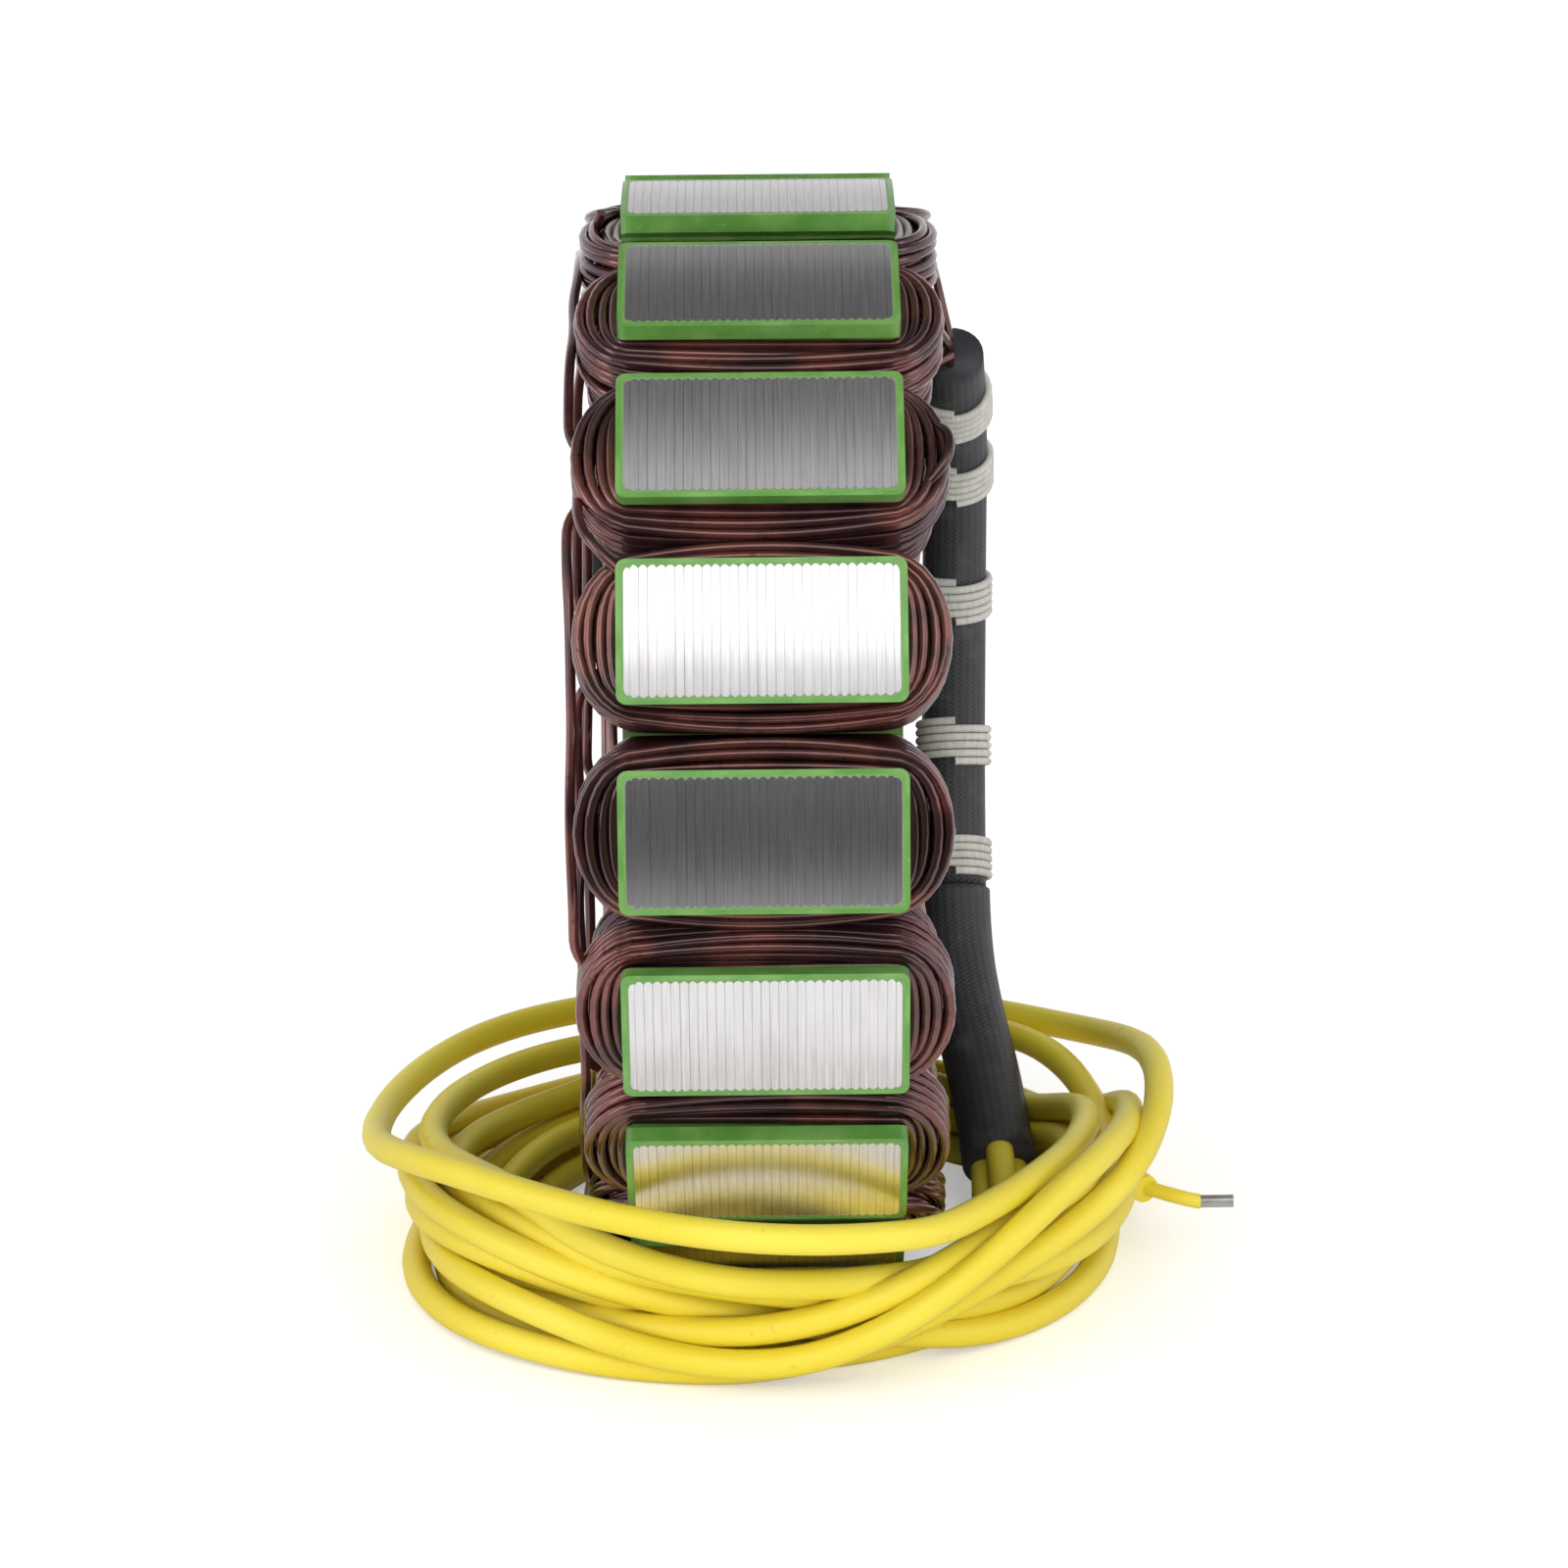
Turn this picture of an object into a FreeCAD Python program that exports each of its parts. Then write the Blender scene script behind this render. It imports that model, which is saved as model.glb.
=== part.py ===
import FreeCAD, Part
import math
import os
import Sketcher

# Motorcycle stator: a stack of steel sheets with poles round its rim, an epoxy coat,
# a coil of enamelled wire on each pole, and three leads that come out of a black sleeve.
# The stack's axis is X, Z is up, and the origin is at the middle of the bore.
# The ring stands on its rim, in the coil of its own leads.

doc = FreeCAD.newDocument("motorcycle_stator")

# Driving dimensions, in millimetres and degrees

SIZES = [
    ("core_radius", 54.0),
    ("bore_radius", 21.0),
    ("yoke_radius", 33.8),
    ("sheet_thickness", 0.8),
    ("sheet_count", 31),
    ("pole_count", 18),
    ("first_pole_angle", 15.95),
    ("neck_width", 8.0),
    ("slot_opening", 6.7),
    ("shoe_edge", 1.4),
    ("shoe_root", 2.6),
    ("hole_radius", 3.25),
    ("hole_circle_radius", 27.25),
    ("hole_count", 3),
    ("hole_pole_number", 2),
    ("rivet_radius", 2.0),
    ("rivet_head_height", 0.7),
    ("rivet_pole_number", 5),
    ("coat_thickness", 0.45),
    ("coat_setback", 0.8),
    ("coat_hole_margin", 2.5),
    ("coil_clearance", 0.05),
    ("coil_gap", 0.3),
    ("coil_shoe_gap", 0.3),
    ("coil_ridges", 4),
    ("coil_ridge_depth", 0.35),
    ("coil_corner", 1.6),
    ("wire_diameter", 0.95),
    ("wire_gap", 0.1),
    ("crossover_radius", 46.5),
    ("crossover_step", 3.6),
    ("splice_diameter", 3.6),
    ("splice_length", 15.0),
    ("upper_sleeve_diameter", 6.8),
    ("lower_sleeve_diameter", 7.6),
    ("sleeve_sides", 10),
    ("tie_width", 3.6),
    ("tie_thickness", 0.4),
    ("tie_gap", 0.05),
    ("lead_diameter", 2.9),
    ("lead_sides", 6),
    ("pile_sides", 20),
    ("pile_foot_radius", 30.5),
    ("pile_foot_outer_radius", 37.5),
    ("pile_outer_radius", 41.0),
    ("pile_top_radius", 35.8),
    ("pile_height", 14.5),
    ("pile_round", 2.2),
    ("pile_flare", 7.0),
    ("pile_clearance", 0.4),
    ("tail_diameter", 1.5),
    ("tip_diameter", 1.3),
]

sizes = doc.addObject("Spreadsheet::Sheet", "sizes")
for row, (alias, value) in enumerate(SIZES, start=1):
    sizes.set("A%d" % row, alias)
    sizes.set("B%d" % row, str(value))
    sizes.setAlias("B%d" % row, alias)
doc.recompute()


def size(alias):
    """The value of one cell of the sheet."""
    return float(sizes.get(alias))


# Expressions that several pieces share

STACK_LENGTH = "(sizes.sheet_thickness * sizes.sheet_count)"
HALF_PITCH = "(180 / sizes.pole_count)"
NECK_HALF = "(sizes.neck_width / 2)"
COIL_FOOT = "(sizes.yoke_radius + sizes.coat_thickness + sizes.coil_gap)"
COIL_HEAD = "(sizes.core_radius - sizes.shoe_root - sizes.coat_thickness - sizes.coil_shoe_gap)"
COIL_END = "(%s / 2 + sizes.coat_thickness + sizes.coil_clearance)" % STACK_LENGTH
COIL_SIDE = "(%s + sizes.coat_thickness + sizes.coil_clearance)" % NECK_HALF
HOLE_ANGLE = "(sizes.hole_pole_number * 360 / sizes.pole_count)"
RIVET_ANGLE = "(sizes.rivet_pole_number * 360 / sizes.pole_count)"


# Sketches and features

def plane(body, role):
    """The body's own origin plane with that role."""
    return [f for f in body.Origin.OriginFeatures if f.Role == role][0]


def sketch_on(body, name, role):
    """An empty sketch on one of the body's origin planes."""
    sketch = body.newObject("Sketcher::SketchObject", name)
    sketch.AttachmentSupport = (plane(body, role), "")
    sketch.MapMode = "FlatFace"
    return sketch


def hold(sketch, name, constraint, expression):
    """Add one dimension to the sketch and bind it to an expression."""
    index = sketch.addConstraint(constraint)
    sketch.renameConstraint(index, name)
    sketch.setExpression("Constraints." + name, expression)


def worth(expression):
    """The number that an expression has now."""
    return float(sizes.evalExpression(expression))


def outline(sketch, corners):
    """A closed outline of straight edges; every corner has its two distances from the origin."""
    points = [FreeCAD.Vector(worth(x), worth(y), 0) for x, y in corners]
    first = sketch.GeometryCount
    count = len(points)
    for i in range(count):
        sketch.addGeometry(Part.LineSegment(points[i], points[(i + 1) % count]))
    for i in range(count):
        before = first + (i - 1) % count
        sketch.addConstraint(Sketcher.Constraint("Coincident", before, 2, first + i, 1))
        hold(sketch, "x%d" % i, Sketcher.Constraint("DistanceX", -1, 1, first + i, 1, points[i].x), corners[i][0])
        hold(sketch, "y%d" % i, Sketcher.Constraint("DistanceY", -1, 1, first + i, 1, points[i].y), corners[i][1])


def circle(sketch, name, radius, x="0", y="0"):
    """A circle whose radius and centre are bound to expressions."""
    centre = FreeCAD.Vector(worth(x), worth(y), 0)
    index = sketch.addGeometry(Part.Circle(centre, FreeCAD.Vector(0, 0, 1), worth(radius)))
    hold(sketch, name + "_radius", Sketcher.Constraint("Radius", index, worth(radius)), radius)
    hold(sketch, name + "_x", Sketcher.Constraint("DistanceX", -1, 1, index, 3, centre.x), x)
    hold(sketch, name + "_y", Sketcher.Constraint("DistanceY", -1, 1, index, 3, centre.y), y)


def pad(body, sketch, length):
    """A pad to both sides of its sketch."""
    feature = body.newObject("PartDesign::Pad", sketch.Name + "_pad")
    feature.Profile = sketch
    feature.SideType = "Symmetric"
    feature.setExpression("Length", length)
    sketch.Visibility = False
    body.Tip = feature
    return feature


def pocket_through(body, sketch, length):
    """A pocket to both sides of its sketch, longer than the piece."""
    feature = body.newObject("PartDesign::Pocket", sketch.Name + "_pocket")
    feature.Profile = sketch
    feature.SideType = "Symmetric"
    feature.setExpression("Length", length + " + 10")
    body.Tip = feature
    return feature


def around(body, feature, sketch, count):
    """Repeat a feature evenly around the stack's axis."""
    pattern = body.newObject("PartDesign::PolarPattern", sketch.Name + "_pattern")
    pattern.Originals = [feature]
    pattern.Axis = (sketch, ["N_Axis"])
    pattern.Angle = 360
    pattern.setExpression("Occurrences", count)
    body.Tip = pattern
    return pattern


def turn_about_axis(piece, angle):
    """Turn a piece about the stack's axis by an angle that is bound to the sheet."""
    piece.Placement = FreeCAD.Placement(FreeCAD.Vector(0, 0, 0), FreeCAD.Rotation(FreeCAD.Vector(1, 0, 0), 1))
    piece.setExpression("Placement.Rotation.Angle", angle)


# Lamination stack

def on_pole(along, across):
    """A point given on a pole, along it and across it, seen from the middle line of the next slot."""
    u = "%s * cos(%s) + %s * sin(%s)" % (along, HALF_PITCH, across, HALF_PITCH)
    v = "%s * sin(%s) - %s * cos(%s)" % (along, HALF_PITCH, across, HALF_PITCH)
    return u, v


def from_slot(u, v):
    """A point given from the slot's middle line, in the frame of the first pole."""
    x = "(%s) * cos(%s) - (%s) * sin(%s)" % (u, HALF_PITCH, v, HALF_PITCH)
    y = "(%s) * sin(%s) + (%s) * cos(%s)" % (u, HALF_PITCH, v, HALF_PITCH)
    return x, y


def slot_corners(coat):
    """Half of a slot from its mouth to its floor, with walls that are closer by the coat, and its mirror."""
    across = "(%s + %s)" % (NECK_HALF, coat)
    mouth = "(sizes.slot_opening / 2 - %s)" % coat
    lip = "(sizes.core_radius - sizes.shoe_edge - %s)" % coat
    neck_top = "(sizes.core_radius - sizes.shoe_root - %s)" % coat
    neck_foot = "sqrt((sizes.yoke_radius + %s)^2 - %s^2)" % (coat, across)
    half = [("(sizes.core_radius + 2)", mouth), (lip, mouth), on_pole(neck_top, across), on_pole(neck_foot, across)]
    mirror = [(u, "-(%s)" % v) for u, v in reversed(half)]
    return [from_slot(u, v) for u, v in half + mirror]


def on_circle(angle):
    """A point of the hole circle at an angle from the first pole."""
    return "sizes.hole_circle_radius * cos(%s)" % angle, "sizes.hole_circle_radius * sin(%s)" % angle


def sheet_form(name, length, coat, bore, hole, rivet):
    """A disc with slots, bore and round holes: the form of the stack, and of the coat's outside."""
    body = doc.addObject("PartDesign::Body", name)
    disc = sketch_on(body, name + "_disc", "YZ_Plane")
    circle(disc, "rim", "sizes.core_radius")
    circle(disc, "bore", bore)
    pad(body, disc, length)
    doc.recompute()
    slot = sketch_on(body, name + "_slot", "YZ_Plane")
    outline(slot, slot_corners(coat))
    around(body, pocket_through(body, slot, length), slot, "sizes.pole_count")
    doc.recompute()
    holes = sketch_on(body, name + "_hole", "YZ_Plane")
    circle(holes, "bolt", hole, *on_circle(HOLE_ANGLE))
    circle(holes, "rivet", rivet, *on_circle(RIVET_ANGLE))
    around(body, pocket_through(body, holes, length), holes, "sizes.hole_count")
    turn_about_axis(body, "sizes.first_pole_angle")
    return body


def lamination_stack():
    return sheet_form("lamination_stack", STACK_LENGTH, "0", "sizes.bore_radius",
                      "sizes.hole_radius", "sizes.rivet_radius")


def insulation_coat(stack):
    """The green epoxy on the ends and in the slots: the pole faces, the bore and the bolt seats are bare."""
    blank = sheet_form("coat_blank", "(%s + 2 * sizes.coat_thickness)" % STACK_LENGTH, "sizes.coat_thickness",
                       "(sizes.bore_radius + sizes.coat_setback)",
                       "(sizes.hole_radius + sizes.coat_hole_margin)",
                       "(sizes.rivet_radius + sizes.coat_setback)")
    coat = doc.addObject("Part::Cut", "insulation_coat")
    coat.Base = blank
    coat.Tool = stack
    return coat


# Coils

def coil_level(step):
    """How far from the axis a level of the coil is: valleys and ridges take turns from its foot to its head."""
    return "(%s + (%s - %s) * %d / (2 * sizes.coil_ridges))" % (COIL_FOOT, COIL_HEAD, COIL_FOOT, step)


def coil_build(step):
    """How thick the winding is at a level: it fills half of the slot, whose walls open outwards."""
    depth = "sizes.coil_ridge_depth" if step % 2 == 0 else "0"
    slot_half = "%s * tan(%s) - sizes.coil_gap / 2" % (coil_level(step), HALF_PITCH)
    return "(%s - %s - %s)" % (slot_half, COIL_SIDE, depth)


def winding_path(sketch):
    """One turn round the neck, with each corner turned in two steps."""
    quarter = []
    for angle in (22.5, 67.5):
        x = "(%s - sizes.coil_corner * (1 - cos(%.1f) / cos(22.5)))" % (COIL_END, angle)
        y = "(%s - sizes.coil_corner * (1 - sin(%.1f) / cos(22.5)))" % (COIL_SIDE, angle)
        quarter.append((x, y))
    top = quarter + [("-" + x, y) for x, y in reversed(quarter)]
    bottom = [(x, "-" + y) for x, y in reversed(top)]
    outline(sketch, [(COIL_END, "0")] + top + bottom)


def winding_section(sketch):
    """Half of the coil cut through: straight on the neck's side, a ridge for each visible turn outside."""
    last = int(2 * size("coil_ridges"))
    outside = [("(%s + %s)" % (COIL_END, coil_build(step)), coil_level(step)) for step in range(last + 1)]
    inside = "(%s - sizes.coil_corner / 2)" % COIL_END
    outline(sketch, [(inside, coil_level(0))] + outside + [(inside, coil_level(last))])


def first_coil():
    """The coil of the first pole, wound round its neck; the pole's middle line is the body's Z axis."""
    body = doc.addObject("PartDesign::Body", "coil_01")
    path = sketch_on(body, "winding_path", "XY_Plane")
    winding_path(path)
    section = sketch_on(body, "winding_section", "XZ_Plane")
    winding_section(section)
    doc.recompute()
    winding = body.newObject("PartDesign::AdditivePipe", "winding")
    winding.Profile = section
    winding.Spine = path
    winding.Transition = "Right corner"
    body.Tip = winding
    doc.recompute()
    opening = sketch_on(body, "neck_opening", "XY_Plane")
    outline(opening, [(COIL_END, COIL_SIDE), ("-" + COIL_END, COIL_SIDE), ("-" + COIL_END, "-" + COIL_SIDE),
                      (COIL_END, "-" + COIL_SIDE)])
    pocket_through(body, opening, "(2 * sizes.core_radius)")
    return body


def coil_angle(number):
    """How far coil number 0, 1, 2 ... is turned, so that its Z axis lies along its pole."""
    return "sizes.first_pole_angle - 90 + %d * 360 / sizes.pole_count" % number


def coils():
    """One coil on each pole: the first is drawn, and the rest are copies of it."""
    drawn = first_coil()
    turn_about_axis(drawn, coil_angle(0))
    made = [drawn]
    for number in range(1, int(size("pole_count"))):
        body = doc.addObject("PartDesign::Body", "coil_%02d" % (number + 1))
        copy = body.newObject("PartDesign::FeatureBase", "winding_%02d" % (number + 1))
        copy.BaseFeature = drawn
        body.Tip = copy
        turn_about_axis(body, coil_angle(number))
        made.append(body)
    return made


# Rivets

def core_rivets():
    """Rivets through the yoke that stand a little proud at both ends of the stack."""
    body = doc.addObject("PartDesign::Body", "core_rivets")
    section = sketch_on(body, "rivet_section", "YZ_Plane")
    circle(section, "rivet", "sizes.rivet_radius", *on_circle(RIVET_ANGLE))
    shank = pad(body, section, "(%s + 2 * sizes.rivet_head_height)" % STACK_LENGTH)
    around(body, shank, section, "sizes.hole_count")
    turn_about_axis(body, "sizes.first_pole_angle")
    return body


# Wires

def many_sided(middle, along, across, radius, sides):
    """A closed outline with equal sides round a middle line."""
    aside = along.cross(across).normalize()
    corners = []
    for k in range(sides):
        turn = 2 * math.pi * k / sides
        corners.append(middle + across * (radius * math.cos(turn)) + aside * (radius * math.sin(turn)))
    return Part.makePolygon(corners + corners[:1])


def on_ring(x, angle, radius):
    """A point at a distance x along the axis, at an angle and a radius about it."""
    turn = math.radians(angle)
    return FreeCAD.Vector(x, radius * math.cos(turn), radius * math.sin(turn))


def coil_end(radius):
    """How far the coils reach along the axis at that radius."""
    pitch = math.pi / size("pole_count")
    side = size("neck_width") / 2
    return (size("sheet_thickness") * size("sheet_count") / 2
            + radius * math.tan(pitch) - size("coil_gap") / 2 - side)


def coil_radius(part):
    """The radius at a part of the coils' height, 0 at their foot and 1 at their head."""
    foot = worth(COIL_FOOT)
    return foot + part * (worth(COIL_HEAD) - foot)


def wire_level(radius):
    """The middle of a wire that lies on the coils' ends at that radius."""
    return coil_end(radius) + size("wire_diameter") / 2 + size("wire_gap")


def bare_wire(points):
    """A six-sided wire through the points, with mitred bends."""
    along = (points[1] - points[0]).normalize()
    across = along.cross(FreeCAD.Vector(1, 0, 0)).normalize()
    section = many_sided(points[0], along, across, size("wire_diameter") / 2, 6)
    return Part.makePolygon(points).makePipeShell([section], True, False, 1)


def loose_piece(name, shapes):
    """A piece whose shape is worked out here from the sheet's values."""
    piece = doc.addObject("Part::Feature", name)
    piece.Shape = shapes[0] if len(shapes) == 1 else Part.makeCompound(shapes)
    return piece


def crossover(phase):
    """The wire from coil to coil of one phase, over the ends of the two coils between."""
    pitch = 360 / size("pole_count")
    radius = size("crossover_radius") - phase * size("crossover_step")
    x = -wire_level(radius)
    links = []
    for link in range(int(size("pole_count")) // 3 - 1):
        first = size("first_pole_angle") + (phase + 3 * link + 0.2) * pitch
        links.append(bare_wire([on_ring(x, first + 0.65 * pitch * k, radius) for k in range(5)]))
    return loose_piece("crossover_" + "abc"[phase], links)


def splice_angle():
    """The star point lies beside the first pole, where no crossover runs."""
    return size("first_pole_angle") - 90 / size("pole_count")


def splice_ends():
    """Both ends of the splice's middle line, which lies on the coils' ends."""
    radius = size("crossover_radius") - size("crossover_step")
    level = -(coil_end(radius) + size("splice_diameter") / 2 + size("wire_gap"))
    middle = on_ring(level, splice_angle(), radius)
    half = on_ring(0, splice_angle() + 90, size("splice_length") / 2)
    return middle - half, middle + half


def star_splice():
    """The short sleeve over the joint of the three coil ends."""
    foot, head = splice_ends()
    piece = doc.addObject("Part::Cylinder", "star_splice")
    piece.setExpression("Radius", "sizes.splice_diameter / 2")
    piece.setExpression("Height", "sizes.splice_length")
    piece.Placement = FreeCAD.Placement(foot, FreeCAD.Rotation(FreeCAD.Vector(0, 0, 1), head - foot))
    return piece


def star_wires():
    """The last coil of each phase sends its end into the splice."""
    foot, head = splice_ends()
    along = (head - foot).normalize()
    mouth = foot - along * (5 * size("wire_gap"))
    pitch = 360 / size("pole_count")
    wires = []
    for phase in range(3):
        track = size("crossover_radius") - phase * size("crossover_step")
        end = mouth + on_ring(0, splice_angle(), (1 - phase) * 1.15 * size("wire_diameter"))
        first = splice_angle() - (2.5 - 0.8 * phase) * pitch
        last = splice_angle() - 1.1 * pitch
        steps = 2 - phase
        points = [on_ring(-wire_level(track), first + (last - first) * k / max(steps, 1), track)
                  for k in range(steps + 1)]
        wires.append(bare_wire(points + [end]))
    return loose_piece("star_wires", wires)


# Sleeve, leads and their pile

def routed(points):
    """Straight runs joined by arcs as large as the two runs of each corner allow."""
    edges = []
    radii = []
    start = points[0]
    for before, corner, after in zip(points, points[1:], points[2:]):
        back = before - corner
        ahead = after - corner
        turn = math.pi - back.getAngle(ahead)
        reach = 0.45 * min(back.Length, ahead.Length)
        radius = reach / math.tan(turn / 2)
        radii.append(radius)
        back.normalize()
        ahead.normalize()
        enter = corner + back * reach
        leave = corner + ahead * reach
        inward = (back + ahead).normalize()
        middle = corner + inward * (radius / math.cos(turn / 2) - radius)
        edges.append(Part.LineSegment(start, enter).toShape())
        edges.append(Part.Arc(enter, middle, leave).toShape())
        start = leave
    edges.append(Part.LineSegment(start, points[-1]).toShape())
    return Part.Wire(edges), radii


def tube(name, points, diameter, sides):
    """A tube with flat sides along a route; its bends and its volume are printed."""
    path, radii = routed([FreeCAD.Vector(*p) for p in points])
    along = path.Edges[0].tangentAt(0)
    across = along.cross(FreeCAD.Vector(1, 0, 0)).normalize()
    section = many_sided(path.Vertexes[0].Point, along, across, diameter / 2, sides)
    shape = path.makePipeShell([section], True, False)
    full = Part.Face(section).Area * path.Length
    print("%s: length %.1f mm, bends %s mm, volume %.4f of section x length"
          % (name, path.Length, ", ".join("%.0f" % r for r in radii), shape.Volume / full))
    return loose_piece(name, [shape])


# The routes are chosen by hand, in millimetres: down the back of the ring, then into the pile.

UPPER_SLEEVE = [(19.6, 29.3, 31.4), (20.5, 38.3, 22.0), (20.6, 43.3, 10.3), (20.6, 44.3, -3.6),
                (20.4, 41.3, -16.4), (20.3, 35.0, -27.6)]
LOWER_SLEEVE = [(20.3, 34.9, -27.75), (20.3, 32.2, -32.55), (21.3, 25.8, -38.4), (23.2, 16.7, -44.4),
                (23.8, 7.6, -48.6)]
LEADS = {
    "a": [(22.3, 7.75, -49.4), (22.5, 3.4, -51.45), (20.3, -5.5, -52.5), (20.8, -14.0, -52.5)],
    "b": [(23.8, 6.8, -47.0), (24.1, 0.9, -49.8), (24.0, -7.5, -52.5), (24.3, -14.2, -52.5)],
    "c": [(25.3, 8.0, -49.4), (25.7, 3.6, -51.5), (27.2, -2.8, -52.5), (27.4, -8.4, -52.5)],
}
LEAD_TAIL = [(41.2, -3.0, -48.6), (43.2, -3.3, -49.0)]
LEAD_TIP = [(43.5, -3.3, -49.0), (46.8, -3.8, -48.8)]


def lead_coil():
    """The pile of the three leads on the table, open in the middle, and clear of the ring's rim."""
    table = "(-sizes.core_radius)"
    top = "(sizes.pile_height - sizes.core_radius)"
    body = doc.addObject("PartDesign::Body", "pile")
    path = sketch_on(body, "pile_path", "XY_Plane")
    sides = int(size("pile_sides"))
    reach = "(sizes.pile_foot_radius / cos(180 / sizes.pile_sides))"
    corners = [("%s * cos(%f * 360 / sizes.pile_sides)" % (reach, k + 0.5),
                "%s * sin(%f * 360 / sizes.pile_sides)" % (reach, k + 0.5)) for k in range(sides)]
    outline(path, [("sizes.pile_foot_radius", "0")] + corners)
    section = sketch_on(body, "pile_section", "XZ_Plane")
    outline(section, [("sizes.pile_foot_radius", table), ("sizes.pile_foot_outer_radius", table),
                      ("sizes.pile_outer_radius", table + " + sizes.pile_flare"),
                      ("sizes.pile_outer_radius", top + " - sizes.pile_round"),
                      ("(sizes.pile_outer_radius - sizes.pile_round)", top), ("sizes.pile_top_radius", top)])
    doc.recompute()
    swept = body.newObject("PartDesign::AdditivePipe", "pile_swept")
    swept.Profile = section
    swept.Spine = path
    swept.Transition = "Right corner"
    body.Tip = swept
    room = doc.addObject("Part::Cylinder", "ring_room")
    room.setExpression("Radius", "sizes.core_radius + sizes.pile_clearance")
    room.setExpression("Height", "sizes.core_radius")
    room.Placement = FreeCAD.Placement(FreeCAD.Vector(-size("core_radius") / 2, 0, 0),
                                       FreeCAD.Rotation(FreeCAD.Vector(0, 0, 1), FreeCAD.Vector(1, 0, 0)))
    coil = doc.addObject("Part::Cut", "lead_coil")
    coil.Base = body
    coil.Tool = room
    return coil


def straight_end(name, points, diameter):
    """A round straight piece from one point to the other."""
    foot, head = [FreeCAD.Vector(*p) for p in points]
    return loose_piece(name, [Part.makeCylinder(diameter / 2, (head - foot).Length, foot, head - foot)])


def sleeve_ties():
    """Lacing round the sleeve: a tie over each slot that it passes, and one just below its mouth."""
    sides = int(size("sleeve_sides"))
    inside = size("upper_sleeve_diameter") / 2 / math.cos(math.pi / sides) + size("tie_gap")
    outside = inside + size("tie_thickness")
    path = routed([FreeCAD.Vector(*p) for p in UPPER_SLEEVE])[0]
    spots = path.discretize(Number=200)
    ties = []
    for slot in (-2, -1, 0, 1, 1.75):
        angle = size("first_pole_angle") + (slot - 0.5) * 360 / size("pole_count")
        nearest = min(range(1, 199), key=lambda i: abs(math.degrees(math.atan2(spots[i].z, spots[i].y)) - angle))
        along = (spots[nearest + 1] - spots[nearest - 1]).normalize()
        across = along.cross(FreeCAD.Vector(1, 0, 0)).normalize()
        foot = spots[nearest] - along * (size("tie_width") / 2)
        rings = [Part.Face(many_sided(foot, along, across, radius, sides)) for radius in (outside, inside)]
        ties.append(rings[0].cut(rings[1]).extrude(along * size("tie_width")))
    return loose_piece("sleeve_ties", ties)


def phase_wires():
    """The first coil of each phase sends its end into the top of the sleeve.

    Each corner of a wire has its part of the coils' height, its place in pitches from
    the first pole, and how many wire diameters it stands off the coils.
    """
    mouth = FreeCAD.Vector(*UPPER_SLEEVE[0])
    back = (mouth - FreeCAD.Vector(*UPPER_SLEEVE[1])).normalize()
    start = mouth + back * size("wire_gap")
    radial = on_ring(0, math.degrees(math.atan2(mouth.z, mouth.y)), 1)
    angle = size("first_pole_angle")
    pitch = 360 / size("pole_count")
    spread = 1.3 * size("wire_diameter")
    low = start - radial * spread
    high = start + radial * spread
    out = 1.5 * size("wire_diameter")
    turns = [
        (low, [(0.28, 1.85, 1.2), (0.15, 1.5, 0), (0.12, 1.1, 0)]),
        (start, [(0.59, 2.0, 0.6), (0.62, 2.25, 0)]),
        (high, [(0.8, 2.1, 0.8), (0.8, 2.5, 0), (0.74, 2.9, 0)]),
    ]
    wires = []
    for first, corners in turns:
        points = [first, first + back * out]
        for part, poles, lift in corners:
            radius = coil_radius(part)
            points.append(on_ring(wire_level(radius) + lift * size("wire_diameter"), angle + poles * pitch, radius))
        wires.append(bare_wire(points))
    return loose_piece("phase_wires", wires)


def build():
    """Make every piece; each one's label names its file."""
    stack = lamination_stack()
    pieces = [stack, insulation_coat(stack), core_rivets()] + coils()
    pieces += [crossover(phase) for phase in range(3)]
    pieces += [star_splice(), star_wires(), phase_wires()]
    pieces.append(tube("upper_sleeve", UPPER_SLEEVE, size("upper_sleeve_diameter"), int(size("sleeve_sides"))))
    pieces.append(tube("lower_sleeve", LOWER_SLEEVE, size("lower_sleeve_diameter"), int(size("sleeve_sides"))))
    pieces.append(sleeve_ties())
    for name, points in LEADS.items():
        pieces.append(tube("lead_" + name, points, size("lead_diameter"), int(size("lead_sides"))))
    pieces.append(lead_coil())
    pieces.append(straight_end("lead_tail", LEAD_TAIL, size("tail_diameter")))
    pieces.append(straight_end("lead_tip", LEAD_TIP, size("tip_diameter")))
    doc.recompute()
    return pieces


def check(pieces):
    """Stop before anything is written if a feature failed or a shape isn't sound."""
    for item in doc.Objects:
        if "Invalid" in item.State or "Error" in item.State:
            raise RuntimeError(item.Name + " failed")
    for piece in pieces:
        if piece.Shape.isNull() or not piece.Shape.isValid() or not piece.Shape.Solids:
            raise RuntimeError(piece.Label + " isn't sound")


pieces = build()
check(pieces)
os.makedirs("parts", exist_ok=True)
for piece in pieces:
    piece.Shape.exportStep("parts/%s.step" % piece.Label)
    print(piece.Label, len(piece.Shape.Solids), "solids", round(piece.Shape.Volume, 1), "mm3")
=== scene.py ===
import math
import random

import bmesh
import bpy
import numpy as np
from mathutils import Matrix, Quaternion, Vector


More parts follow.
